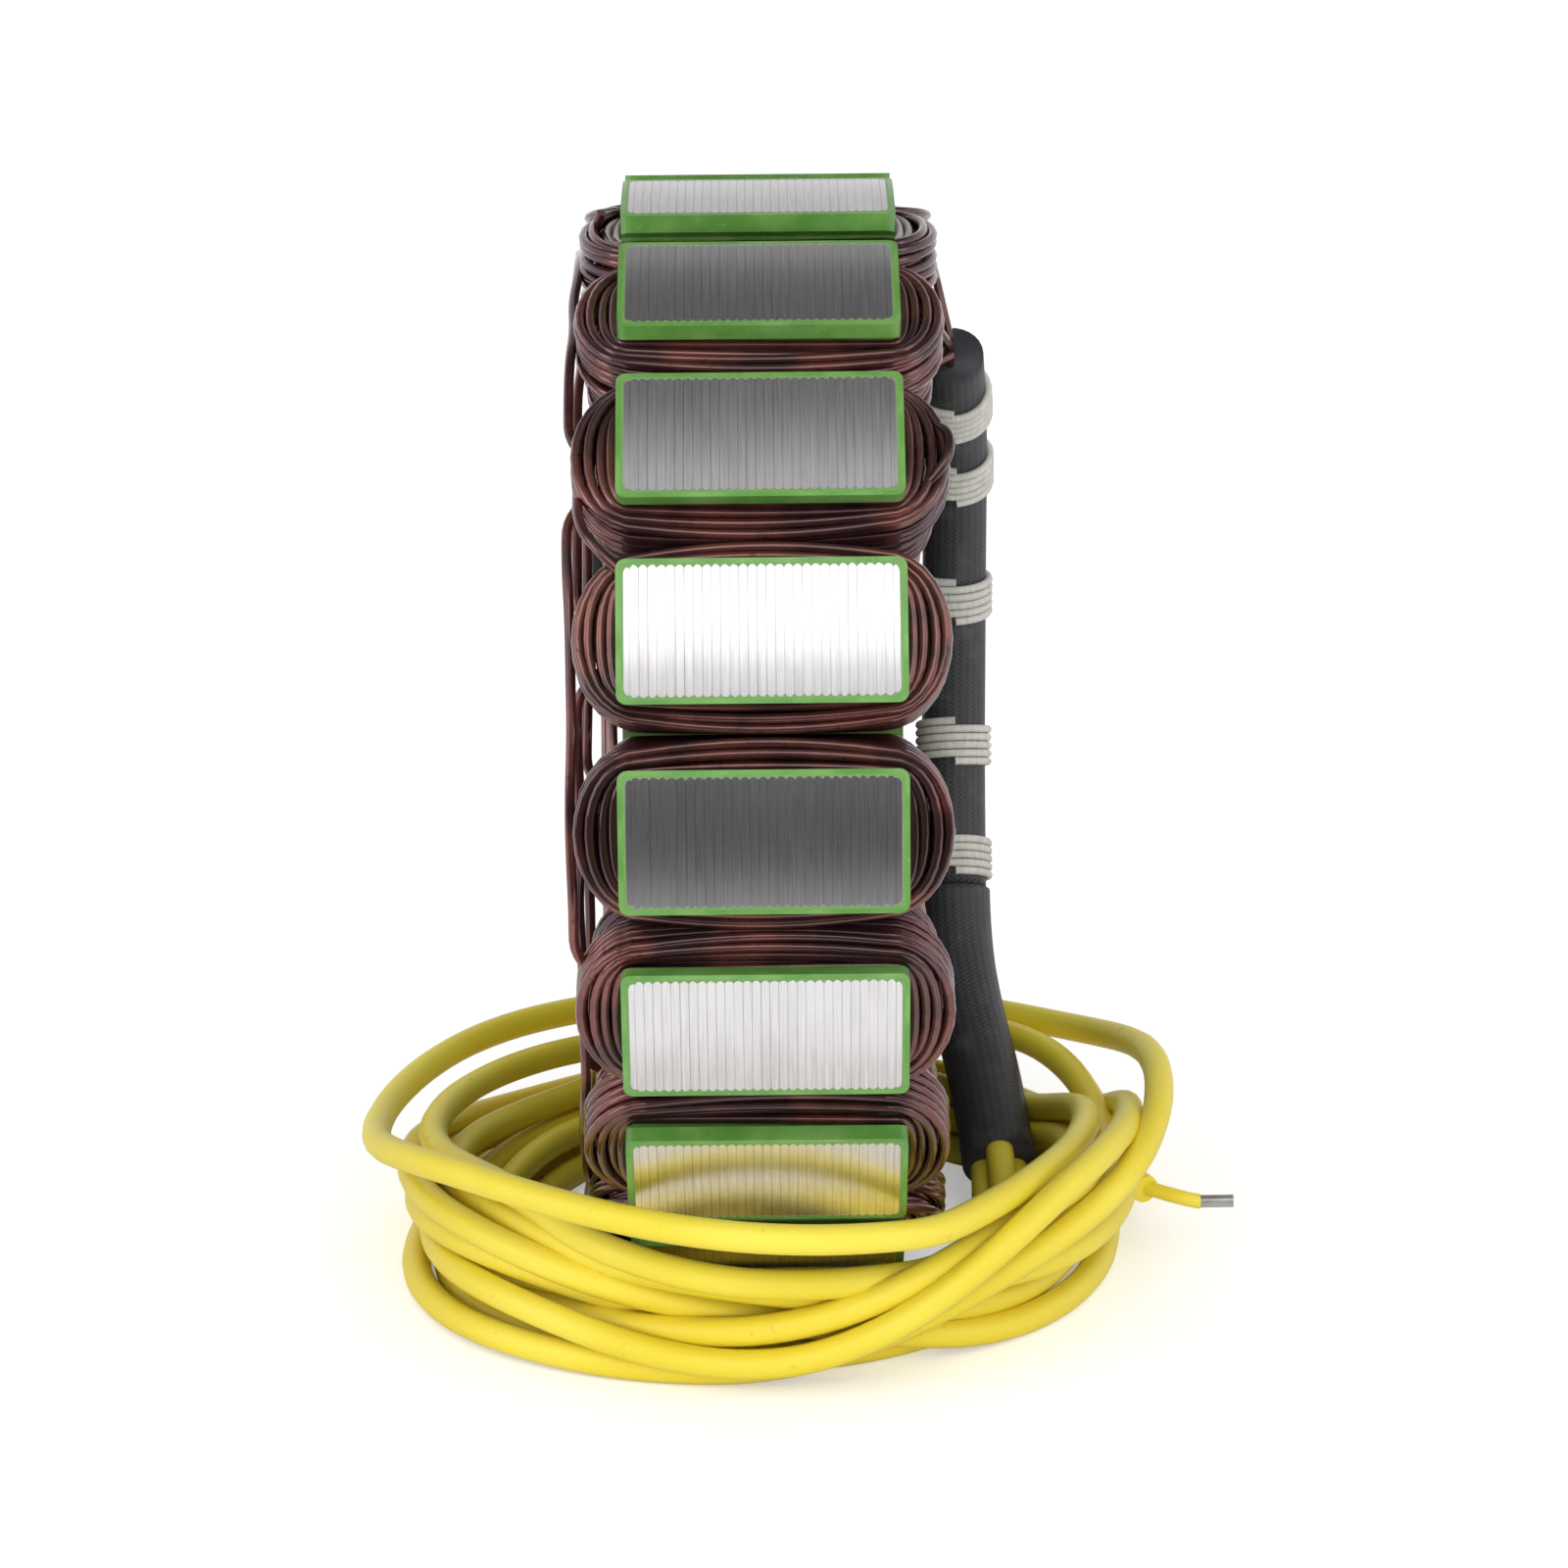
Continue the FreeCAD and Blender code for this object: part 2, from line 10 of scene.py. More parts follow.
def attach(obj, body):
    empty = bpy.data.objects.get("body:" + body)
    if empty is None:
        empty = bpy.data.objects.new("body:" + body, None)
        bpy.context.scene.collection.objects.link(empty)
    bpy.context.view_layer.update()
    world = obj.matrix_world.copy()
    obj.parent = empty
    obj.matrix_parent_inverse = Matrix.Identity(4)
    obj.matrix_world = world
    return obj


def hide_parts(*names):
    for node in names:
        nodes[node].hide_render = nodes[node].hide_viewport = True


# The dressed model of a motorcycle stator, fitted to its CAD frame.
# Sizes below are in millimetres unless a name says otherwise; meshes are made in metres.

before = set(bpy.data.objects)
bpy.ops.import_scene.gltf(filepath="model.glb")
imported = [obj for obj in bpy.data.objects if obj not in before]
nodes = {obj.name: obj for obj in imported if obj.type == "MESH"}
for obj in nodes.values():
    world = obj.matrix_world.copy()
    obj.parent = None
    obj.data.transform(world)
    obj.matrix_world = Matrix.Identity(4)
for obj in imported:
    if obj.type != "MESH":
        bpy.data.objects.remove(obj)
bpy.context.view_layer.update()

MM = 0.001
TABLE = -54.0
CORE_RADIUS = 54.0
STACK_HALF = 12.4
SHEET = 0.8
POLE_COUNT = 18
PITCH = 360.0 / POLE_COUNT
FIRST_POLE = 15.95
SHOE_HALF = 6.07
COAT = 0.45
NECK_HALF = 4.0
WIRE = 0.95
COIL_FOOT = 34.6
COIL_HEAD = 50.6
LEAD = 2.9


# Camera

PHOTO_WIDTH = 1600
FOCAL_PX = 5024
RING_PX = (779, 741)
CAMERA_DISTANCE = 485
CAMERA_RISE = 15
CAMERA_ROLL = -0.5


def add_camera():
    rise = math.radians(CAMERA_RISE)
    ahead = Vector((0, math.cos(rise), -math.sin(rise)))
    up = Vector((0, math.sin(rise), math.cos(rise)))
    right = Vector((1, 0, 0))
    per_px = CAMERA_DISTANCE / FOCAL_PX
    middle = PHOTO_WIDTH / 2
    aim = right * (middle - RING_PX[0]) * per_px - up * (middle - RING_PX[1]) * per_px
    place = -ahead * CAMERA_DISTANCE
    data = bpy.data.cameras.new("camera")
    data.sensor_width = 36
    data.sensor_fit = "HORIZONTAL"
    data.lens = FOCAL_PX * data.sensor_width / PHOTO_WIDTH
    camera = bpy.data.objects.new("camera", data)
    bpy.context.scene.collection.objects.link(camera)
    turn = (aim - place).to_track_quat("-Z", "Y") @ Quaternion((0, 0, 1), math.radians(CAMERA_ROLL))
    camera.matrix_world = Matrix.LocRotScale(place * MM, turn, None)
    bpy.context.scene.camera = camera


# Node trees

class Tree:
    """A material's or the world's nodes, written from the inside out."""

    def __init__(self, tree):
        self.tree = tree
        tree.nodes.clear()

    def add(self, kind, inputs=None, **settings):
        node = self.tree.nodes.new(kind)
        for name, value in settings.items():
            setattr(node, name, value)
        for key, value in (inputs or {}).items():
            if isinstance(value, bpy.types.NodeSocket):
                self.tree.links.new(value, node.inputs[key])
            else:
                node.inputs[key].default_value = value
        return node

    def math(self, operation, *values):
        return self.add("ShaderNodeMath", dict(enumerate(values)), operation=operation).outputs[0]

    def mix(self, factor, a, b):
        """A colour between a and b."""
        return self.add("ShaderNodeMix", {0: factor, 6: a, 7: b}, data_type="RGBA").outputs[2]

    def blend(self, factor, a, b):
        """A number between a and b."""
        return self.add("ShaderNodeMix", {0: factor, 2: a, 3: b}, data_type="FLOAT").outputs[0]

    def ramp(self, value, stops):
        """A colour or grey that depends on a value from 0 to 1."""
        node = self.add("ShaderNodeValToRGB", {0: value})
        marks = node.color_ramp.elements
        while len(marks) < len(stops):
            marks.new(1)
        for mark, (place, colour) in zip(marks, stops):
            mark.position = place
            mark.color = tuple(colour) + (1,) if hasattr(colour, "__len__") else (colour,) * 3 + (1,)
        return node.outputs[0]

    def step(self, value, low, high):
        """0 under low, 1 over high, and smooth between."""
        node = self.add("ShaderNodeMapRange", {"Value": value, "From Min": low, "From Max": high},
                        interpolation_type="SMOOTHSTEP")
        return node.outputs[0]

    def place(self):
        """Where a point is, in metres, in the row frame."""
        return self.add("ShaderNodeTexCoord").outputs["Object"]

    def noise(self, scale, stretch=(1, 1, 1), detail=3):
        """Noise with that many lumps to a metre, more along an axis that is stretched less."""
        size = tuple(scale / s for s in stretch)
        moved = self.add("ShaderNodeMapping", {"Vector": self.place(), "Scale": size}).outputs[0]
        return self.add("ShaderNodeTexNoise", {"Vector": moved, "Scale": 1, "Detail": detail}).outputs[0]

    def bump(self, height, distance, strength):
        """A bump whose height, from 0 to 1, stands for a distance in millimetres."""
        inputs = {"Height": height, "Distance": distance * MM, "Strength": strength}
        return self.add("ShaderNodeBump", inputs).outputs[0]

    def surface(self, **sockets):
        """The principled shader, straight to the output."""
        inputs = {name.replace("_", " "): value for name, value in sockets.items()}
        shader = self.add("ShaderNodeBsdfPrincipled", inputs)
        self.add("ShaderNodeOutputMaterial", {"Surface": shader.outputs[0]})


def material(name):
    made = bpy.data.materials.new(name)
    made.use_nodes = True
    return made, Tree(made.node_tree)


# Materials

GREEN = (0.155, 0.330, 0.080, 1)
GREEN_DEEP = (0.090, 0.250, 0.042, 1)
STEEL = (0.80, 0.78, 0.79, 1)
RIM_ROUND = 0.8
STEEL_LINE = (0.16, 0.15, 0.15, 1)


def bare_steel():
    """Ground steel: sheet edges as fine lines round the core, with the coat over each pole face's rim."""
    made, t = material("ground_sheet_steel")
    x, y, z = t.add("ShaderNodeSeparateXYZ", {0: t.place()}).outputs
    angle = t.math("ARCTAN2", z, y)
    pitch = math.radians(PITCH)
    shifted = t.math("SUBTRACT", angle, math.radians(FIRST_POLE) - pitch / 2)
    local = t.math("SUBTRACT", t.math("FLOORED_MODULO", shifted, pitch), pitch / 2)
    across = t.math("MULTIPLY", t.math("ABSOLUTE", local), CORE_RADIUS)
    radius = t.math("SQRT", t.math("ADD", t.math("MULTIPLY", y, y), t.math("MULTIPLY", z, z)))
    rim = t.math("GREATER_THAN", radius, (CORE_RADIUS - 0.15) * MM)
    sheets = t.math("DIVIDE", t.math("ADD", x, STACK_HALF * MM), SHEET * MM)
    part = t.math("FRACT", sheets)
    number = t.math("FLOOR", sheets)
    bow = t.math("SINE", t.math("MULTIPLY", part, math.pi))
    grain = t.noise(900, (0.25, 1, 1), 2)
    edge = t.math("ADD", t.math("MULTIPLY", bow, 0.26), t.math("MULTIPLY", grain, 0.22))
    over = t.math("SUBTRACT", across, t.math("ADD", edge, SHOE_HALF - 0.52 - RIM_ROUND))
    ends = t.math("SUBTRACT", t.math("DIVIDE", t.math("ABSOLUTE", x), MM), STACK_HALF - 0.26 - RIM_ROUND)
    over = t.math("MAXIMUM", over, 0.0)
    ends = t.math("MAXIMUM", ends, 0.0)
    out = t.math("SQRT", t.math("ADD", t.math("MULTIPLY", over, over), t.math("MULTIPLY", ends, ends)))
    coated = t.step(out, RIM_ROUND, RIM_ROUND + 0.05)
    coated = t.math("MULTIPLY", coated, rim)
    off_middle = t.math("ABSOLUTE", t.math("SUBTRACT", part, 0.5))
    chance = t.add("ShaderNodeTexWhiteNoise", {"W": number}, noise_dimensions="1D").outputs["Value"]
    line = t.math("MULTIPLY", t.step(off_middle, 0.40, 0.495), t.blend(chance, 0.25, 0.95))
    line = t.math("MULTIPLY", line, t.blend(t.noise(260, (0.1, 1, 1), 2), 0.35, 1.0))
    scratch = t.noise(7500, (1, 40, 40), 4)
    worn = t.noise(120, (0.6, 1, 1), 4)
    tone = t.mix(t.step(scratch, 0.35, 0.7), (0.70, 0.68, 0.69, 1), (0.84, 0.82, 0.83, 1))
    tone = t.mix(t.step(worn, 0.45, 0.75), tone, STEEL)
    tone = t.mix(line, tone, STEEL_LINE)
    colour = t.mix(coated, tone, t.mix(t.noise(700), GREEN_DEEP, GREEN))
    relief = t.math("ADD", t.math("MULTIPLY", scratch, 0.025), t.math("MULTIPLY", line, -0.35))
    relief = t.math("ADD", relief, t.math("MULTIPLY", coated, 1.2))
    t.surface(Base_Color=colour, Metallic=t.math("SUBTRACT", 1.0, coated),
              Roughness=t.blend(coated, t.blend(scratch, 0.25, 0.32), 0.36),
              Normal=t.bump(relief, 0.05, 0.8))
    return made


def green_epoxy():
    """Dipped green epoxy: glossy, a little uneven, and paler where it is thin."""
    made, t = material("green_epoxy_coat")
    wave = t.noise(260, detail=3)
    speck = t.noise(2600, detail=2)
    colour = t.mix(t.step(wave, 0.35, 0.7), GREEN_DEEP, GREEN)
    colour = t.mix(t.step(speck, 0.66, 0.8), colour, (0.20, 0.42, 0.12, 1))
    t.surface(Base_Color=colour, Roughness=t.blend(wave, 0.26, 0.42), Coat_Weight=0.3, Coat_Roughness=0.15,
              Normal=t.bump(t.math("ADD", wave, t.math("MULTIPLY", speck, 0.15)), 0.10, 0.7))
    return made


def enamelled_wire():
    """Copper under a dark red enamel."""
    made, t = material("enamelled_copper")
    patch = t.noise(150, detail=3)
    fine = t.noise(1300, detail=2)
    colour = t.mix(t.step(patch, 0.38, 0.66), (0.070, 0.030, 0.031, 1), (0.205, 0.072, 0.054, 1))
    colour = t.mix(t.step(fine, 0.60, 0.78), colour, (0.055, 0.017, 0.017, 1))
    t.surface(Base_Color=colour, Metallic=0.70, Roughness=t.blend(fine, 0.16, 0.30), Coat_Weight=1.0,
              Coat_Roughness=0.10, Coat_Tint=(1.0, 0.90, 0.96, 1), Normal=t.bump(patch, 0.05, 0.4))
    return made


def rivet_steel():
    made, t = material("rivet_steel")
    turned = t.noise(1500, (6, 1, 1), 3)
    t.surface(Base_Color=t.mix(turned, (0.36, 0.35, 0.35, 1), (0.60, 0.59, 0.58, 1)), Metallic=0.95,
              Roughness=t.blend(turned, 0.28, 0.48), Normal=t.bump(turned, 0.02, 0.6))
    return made


def black_sleeving():
    """Knitted glass sleeving, coated black; its stitches run in rows round it."""
    made, t = material("black_sleeving")
    u, v, _ = t.add("ShaderNodeSeparateXYZ", {0: t.add("ShaderNodeTexCoord").outputs["UV"]}).outputs
    row = t.math("SINE", t.math("MULTIPLY", u, 2 * math.pi / 0.55))
    rib = t.math("SINE", t.math("ADD", t.math("MULTIPLY", v, 2 * math.pi * 26), t.math("MULTIPLY", row, 0.9)))
    knit = t.math("MULTIPLY", t.math("ADD", t.math("MULTIPLY", row, rib), 1.0), 0.5)
    dust = t.noise(300, detail=3)
    colour = t.mix(knit, (0.018, 0.018, 0.022, 1), (0.046, 0.046, 0.056, 1))
    colour = t.mix(t.step(dust, 0.52, 0.75), colour, (0.060, 0.060, 0.068, 1))
    t.surface(Base_Color=colour, Roughness=t.blend(dust, 0.42, 0.62), Coat_Weight=0.15, Coat_Roughness=0.3,
              Normal=t.bump(knit, 0.12, 0.6))
    return made


def lacing_cord():
    made, t = material("waxed_lacing")
    fibre = t.noise(2400, (1, 4, 4), 3)
    t.surface(Base_Color=t.mix(fibre, (0.42, 0.40, 0.36, 1), (0.74, 0.72, 0.68, 1)),
              Roughness=t.blend(fibre, 0.5, 0.7), Normal=t.bump(fibre, 0.08, 0.7))
    return made


def yellow_lead():
    """Soft yellow insulation with handling marks."""
    made, t = material("yellow_insulation")
    cloud = t.noise(45, detail=2)
    scuff = t.noise(700, detail=4)
    colour = t.mix(t.step(cloud, 0.35, 0.7), (0.770, 0.615, 0.035, 1), (0.840, 0.695, 0.065, 1))
    colour = t.mix(t.step(scuff, 0.66, 0.82), colour, (0.60, 0.46, 0.03, 1))
    t.surface(Base_Color=colour, Roughness=t.blend(scuff, 0.34, 0.50), Subsurface_Weight=0.05,
              Subsurface_Radius=(1.0, 0.7, 0.2), Subsurface_Scale=0.0006,
              Normal=t.bump(t.math("ADD", scuff, t.math("MULTIPLY", cloud, 2.0)), 0.03, 0.5))
    return made


def tinned_copper():
    made, t = material("tinned_copper")
    strand = t.noise(2600, (6, 1, 1), 2)
    t.surface(Base_Color=t.mix(strand, (0.38, 0.38, 0.40, 1), (0.68, 0.68, 0.70, 1)), Metallic=0.9,
              Roughness=t.blend(strand, 0.3, 0.5), Normal=t.bump(strand, 0.1, 0.7))
    return made


FINISH = {
    "bare_steel": bare_steel(),
    "green_epoxy": green_epoxy(),
    "enamelled_wire": enamelled_wire(),
    "rivet_steel": rivet_steel(),
    "black_sleeving": black_sleeving(),
    "lacing_cord": lacing_cord(),
    "yellow_lead": yellow_lead(),
    "tinned_copper": tinned_copper(),
}


# Pieces

def shown(name, data, slot, replaces=()):
    """Put a mesh or curve in the scene as a piece of the object."""
    piece = bpy.data.objects.new(name, data)
    bpy.context.scene.collection.objects.link(piece)
    piece.data.materials.append(FINISH[slot])
    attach(piece, "root")
    if replaces:
        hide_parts(*replaces)
    return piece


def tube_mesh(lines, radius, sides, closed):
    """Tubes along lines of points, each a mesh strip of rings; u runs along a tube and v round it."""
    verts, faces, uvs = [], [], []
    turn = np.arange(sides) * 2 * math.pi / sides
    for line in lines:
        line = np.asarray(line, float)
        count = len(line)
        if closed:
            along = np.roll(line, -1, 0) - np.roll(line, 1, 0)
        else:
            along = np.gradient(line, axis=0)
        along /= np.linalg.norm(along, axis=1)[:, None]
        side = np.cross(along, (1.0, 0.02, 0.03) if not closed else (0.0, 0.0, 1.0))
        side /= np.linalg.norm(side, axis=1)[:, None]
        third = np.cross(along, side)
        rings = (line[:, None] + radius * (np.cos(turn)[None, :, None] * side[:, None]
                                           + np.sin(turn)[None, :, None] * third[:, None]))
        start = len(verts)
        verts.extend(map(tuple, rings.reshape(-1, 3)))
        run = np.concatenate([[0], np.cumsum(np.linalg.norm(np.diff(line, axis=0), axis=1))])
        for i in range(count if closed else count - 1):
            j = (i + 1) % count
            for k in range(sides):
                m = (k + 1) % sides
                faces.append((start + i * sides + k, start + i * sides + m,
                              start + j * sides + m, start + j * sides + k))
                near = run[i]
                far = run[j] if j else near
                low = k / sides
                high = (k + 1) / sides
                uvs += [(near, low), (near, high), (far, high), (far, low)]
        if not closed:
            faces.append(tuple(start + k for k in reversed(range(sides))))
            faces.append(tuple(start + (count - 1) * sides + k for k in range(sides)))
            uvs += [(0, 0)] * (2 * sides)
    return verts, faces, uvs


def as_mesh(name, verts, faces, uvs=None):
    """A smooth mesh from millimetres."""
    mesh = bpy.data.meshes.new(name)
    mesh.from_pydata([tuple(c * MM for c in v) for v in verts], [], faces)
    if uvs:
        layer = mesh.uv_layers.new(name="along_and_round")
        layer.data.foreach_set("uv", [c for uv in uvs for c in uv])
    mesh.polygons.foreach_set("use_smooth", [True] * len(mesh.polygons))
    mesh.update()
    return mesh


def on_ring(x, angle, radius):
    turn = math.radians(angle)
    return Vector((x, radius * math.cos(turn), radius * math.sin(turn)))


def nurbs(name, lines, diameter, fineness=6, sides=4):
    """A curve with one smooth spline for each list of points."""
    curve = bpy.data.curves.new(name, "CURVE")
    curve.dimensions = "3D"
    curve.resolution_u = fineness
    curve.bevel_depth = diameter / 2 * MM
    curve.bevel_resolution = sides
    curve.use_fill_caps = True
    for points in lines:
        spline = curve.splines.new("NURBS")
        spline.points.add(len(points) - 1)
        for mark, point in zip(spline.points, points):
            mark.co = tuple(c * MM for c in point) + (1,)
        spline.order_u = 3
        spline.use_endpoint_u = True
    return curve


def spline_points(points, fineness=8):
    """Points along the smooth spline that a route's points control, in millimetres."""
    curve = nurbs("route", [points], 0, fineness)
    holder = bpy.data.objects.new("route", curve)
    bpy.context.scene.collection.objects.link(holder)
    mesh = bpy.data.meshes.new_from_object(holder)
    line = [tuple(v.co / MM) for v in mesh.vertices]
    bpy.data.objects.remove(holder)
    bpy.data.curves.remove(curve)
    bpy.data.meshes.remove(mesh)
    return line


# Coils: only the turns that can be seen

LAYERS = 4
LEVEL_PITCH = 0.98
LAYER_PITCH = 0.82
SIDE_POINTS = 9
END_POINTS = 14


def turn_line(half_width, reach, bow, power, level, tilt, twist, straight):
    """One turn round the pole, seen from outside: its sides bow outwards and its ends are round."""
    line = []
    for side in (1, -1):
        for k in range(SIDE_POINTS):
            x = side * (straight - 2 * straight * k / SIDE_POINTS)
            swell = bow * (1 - (x / straight) ** 2)
            line.append((x, side * (half_width + swell), level + tilt * side * x / straight))
        for k in range(END_POINTS):
            t = math.pi * k / END_POINTS
            c = math.cos(t)
            v = side * half_width * math.copysign(abs(c) ** (2 / power), c)
            x = -side * (straight + (STACK_HALF - straight + reach) * math.sin(t) ** (2 / power))
            line.append((x, v, level - tilt * c + twist * math.sin(t)))
    return line


def coil_lines(rng):
    """The visible turns of one coil: the outermost layer at each level, and all layers at its head."""
    lines = []
    slope = math.tan(math.radians(PITCH / 2))
    loose = [0.0, rng.uniform(-0.05, 0.15), rng.uniform(0.0, 0.40), rng.uniform(0.15, 0.55)]
    crossing = rng.choice((0.0, 0.0, 0.8, -0.8))
    levels = int((COIL_HEAD - COIL_FOOT) / LEVEL_PITCH)
    for step in range(levels):
        level = COIL_HEAD - WIRE / 2 - LEVEL_PITCH * step
        room = level * slope - 0.15 - WIRE / 2 - NECK_HALF - COAT - WIRE / 2
        full = max(1, min(LAYERS, int(room / LAYER_PITCH + 1)))
        first = 0 if step < 3 else full - 1
        for layer in range(first, full):
            half = NECK_HALF + COAT + WIRE / 2 + LAYER_PITCH * layer + rng.uniform(-0.05, 0.05)
            reach = COAT + WIRE / 2 + 0.95 * layer + loose[layer] + rng.uniform(-0.07, 0.10)
            bow = min(0.10 + 0.30 * layer, level * slope - 0.15 - WIRE / 2 - half)
            stagger = 0.22 if layer % 2 else -0.12
            tilt = crossing if layer == full - 1 and step == 1 else rng.uniform(-0.30, 0.30)
            height = level - stagger + rng.uniform(-0.10, 0.10)
            twist = rng.uniform(-0.30, 0.25)
            power = 2.5 - 0.16 * layer
            straight = 11.9 - 0.45 * layer
            lines.append(turn_line(half, reach, bow, power, height, tilt, twist, straight))
    return lines


def add_coils():
    rng = random.Random(18)
    for number in range(POLE_COUNT):
        verts, faces, _ = tube_mesh(coil_lines(rng), WIRE / 2, 8, closed=True)
        turn = math.radians(FIRST_POLE + number * PITCH)
        c, s = math.cos(turn), math.sin(turn)
        placed = [(x, r * c - v * s, r * s + v * c) for x, v, r in verts]
        name = "coil_%02d" % (number + 1)
        shown(name + "_turns", as_mesh(name + "_turns", placed, faces), "enamelled_wire", [name])


# Crossovers (the star point and phase wires keep their model's shape)

CROSSOVER_RADII = (46.5, 42.9, 39.3)
WIRE_GAP = 0.1
CROSSOVER_SPAN = 2.6
# The link whose start lies behind the coils' ends, by phase and number, and how far in it starts
TUCKED_LINK = (0, 3)
TUCKED = 2.9


def coil_end(radius):
    """How far the coils reach along the axis at that radius."""
    return STACK_HALF + radius * math.tan(math.radians(PITCH / 2)) - 0.15 - NECK_HALF


def wire_level(radius):
    return coil_end(radius) + WIRE / 2 + WIRE_GAP


def add_crossovers():
    rng = random.Random(5)
    for phase, level in enumerate(CROSSOVER_RADII):
        links = []
        for link in range(POLE_COUNT // 3 - 1):
            first = FIRST_POLE + (phase + 3 * link + 0.2) * PITCH
            last = first + CROSSOVER_SPAN * PITCH
            tucked = TUCKED if (phase, link) == TUCKED_LINK else 0
            radius = level - tucked
            line = [on_ring(-wire_level(radius) + 2.2, first - 2, radius - 0.5)]
            for k in range(9):
                sway = rng.uniform(-0.35, 0.35)
                out = rng.uniform(0.0, 0.45)
                radius = level - tucked * (1 - k / 8)
                angle = first + CROSSOVER_SPAN * PITCH * k / 8
                line.append(on_ring(-wire_level(radius) - out, angle, radius + sway))
            line.append(on_ring(-wire_level(radius) + 2.2, last + 2, radius - 0.5))
            links.append(line)
        name = "crossover_" + "abc"[phase]
        shown(name + "_wires", nurbs(name + "_wires", links, WIRE), "enamelled_wire", [name])


# Ends of the windings that stand out a little: a distance along the axis, an angle and a radius each
LOOSE_ENDS = [
    [(-15.9, 93.0, 48.6), (-15.4, 94.6, 50.4), (-14.8, 95.2, 52.0)],
    [(-16.4, 140.5, 48.8), (-16.4, 144.0, 50.6), (-14.2, 147.6, 51.6), (-11.6, 150.4, 51.0),
     (-9.0, 151.0, 49.6)],
    [(14.6, 140.0, 50.0), (16.5, 138.0, 51.0), (17.1, 135.4, 51.0), (16.6, 132.6, 50.2), (14.8, 131.4, 49.0)],
]


def add_loose_ends():
    lines = [[on_ring(x, angle, radius) for x, angle, radius in line] for line in LOOSE_ENDS]
    shown("winding_ends", nurbs("winding_ends", lines, WIRE), "enamelled_wire")


def round_coat():
    """The dipped coat with the corners of its pole faces rounded."""
    node = nodes["insulation_coat"]
    soft = bmesh.new()
    soft.from_mesh(node.data)
    soft.transform(node.matrix_world)
    bmesh.ops.remove_doubles(soft, verts=soft.verts, dist=0.001 * MM)
    bmesh.ops.dissolve_limit(soft, angle_limit=math.radians(0.5), verts=soft.verts, edges=soft.edges)
    corners = []
    for edge in soft.edges:
        a, b = [v.co / MM for v in edge.verts]
        near, far = sorted(math.hypot(p.y, p.z) for p in (a, b))
        if min(abs(a.x), abs(b.x)) > STACK_HALF + COAT / 2 and a.x * b.x > 0 and near > 52 and far - near > 1:
            corners.append(edge)
    bmesh.ops.bevel(soft, geom=corners, offset=0.9 * MM, offset_type="OFFSET", segments=4, profile=0.5,
                    affect="EDGES")
    mesh = bpy.data.meshes.new("rounded_coat")
    soft.to_mesh(mesh)
    soft.free()
    shown("rounded_coat", mesh, "green_epoxy", ["insulation_coat"])


# Sleeves and their lacing, down the back of the ring

UPPER_SLEEVE = [(19.6, 29.3, 31.4), (20.5, 38.3, 22.0), (20.6, 43.3, 10.3), (20.6, 44.3, -3.6),
                (20.4, 41.3, -16.4), (20.3, 35.0, -27.6)]
LOWER_SLEEVE = [(20.3, 34.9, -27.75), (20.3, 32.2, -32.55), (21.3, 25.8, -38.4), (23.2, 16.7, -44.4),
                (23.8, 7.6, -48.6)]
UPPER_SLEEVE_DIAMETER = 6.8
LOWER_SLEEVE_DIAMETER = 7.6
TIE_ANGLES = (37.0, 23.5, 3.8, -17.8, -34.05)
TWINE = 0.85
TWINE_WRAPS = 5


def sleeve(name, route, diameter, node):
    """A sleeve as a mesh tube, and the points that it follows in metres."""
    line = spline_points(route, 14)
    verts, faces, uvs = tube_mesh([line], diameter / 2, 28, closed=False)
    piece = shown(name, as_mesh(name, verts, faces, uvs), "black_sleeving", [node])
    return piece, [tuple(c * MM for c in p) for p in line]


def add_sleeves():
    tied, path = sleeve("upper_sleeving", UPPER_SLEEVE, UPPER_SLEEVE_DIAMETER, "upper_sleeve")
    sleeve("lower_sleeving", LOWER_SLEEVE, LOWER_SLEEVE_DIAMETER, "lower_sleeve")
    line = np.array(spline_points(UPPER_SLEEVE, 40))
    angles = np.degrees(np.arctan2(line[:, 2], line[:, 1]))
    wraps = []
    for angle in TIE_ANGLES:
        at = int(np.abs(angles - angle).argmin())
        at = min(max(at, 1), len(line) - 2)
        along = Vector(line[at + 1] - line[at - 1]).normalized()
        across = along.cross(Vector((1, 0, 0))).normalized()
        aside = along.cross(across)
        radius = UPPER_SLEEVE_DIAMETER / 2 + TWINE * 0.42
        wrap = []
        for k in range(TWINE_WRAPS * 16 + 1):
            turn = 2 * math.pi * k / 16
            shift = (k / (TWINE_WRAPS * 16) - 0.5) * TWINE_WRAPS * TWINE * 1.02
            outward = across * math.cos(turn) + aside * math.sin(turn)
            wrap.append(Vector(line[at]) + along * shift + outward * radius)
        wraps.append(wrap)
    shown("sleeve_lacing", nurbs("sleeve_lacing", wraps, TWINE, 3, 2), "lacing_cord", ["sleeve_ties"])


# Leads: out of the lower sleeve, then round in a loose coil that the ring stands in

LEADS = {
    "a": [(22.3, 7.75, -49.4), (22.5, 3.4, -51.45), (21.0, -5.5, -52.5), (19.9, -13.8, -52.5)],
    "b": [(23.8, 6.8, -47.0), (24.1, 0.9, -49.8), (24.0, -7.5, -52.5), (24.3, -14.2, -52.5)],
    "c": [(25.3, 8.0, -49.4), (25.7, 3.6, -51.5), (27.2, -2.8, -52.5), (27.4, -8.4, -52.5)],
}
LEAD_A_END = [(37.2, 0.2, -48.2), (38.2, -1.4, -48.4)]
TAIL_START = (37.6, -0.6, -48.3)
LEAD_TAIL = [(41.2, -3.0, -48.6), (43.2, -3.3, -49.0)]
LEAD_TIP = [(43.5, -3.3, -49.0), (46.8, -3.8, -48.8)]
TAIL_DIAMETER = 1.5
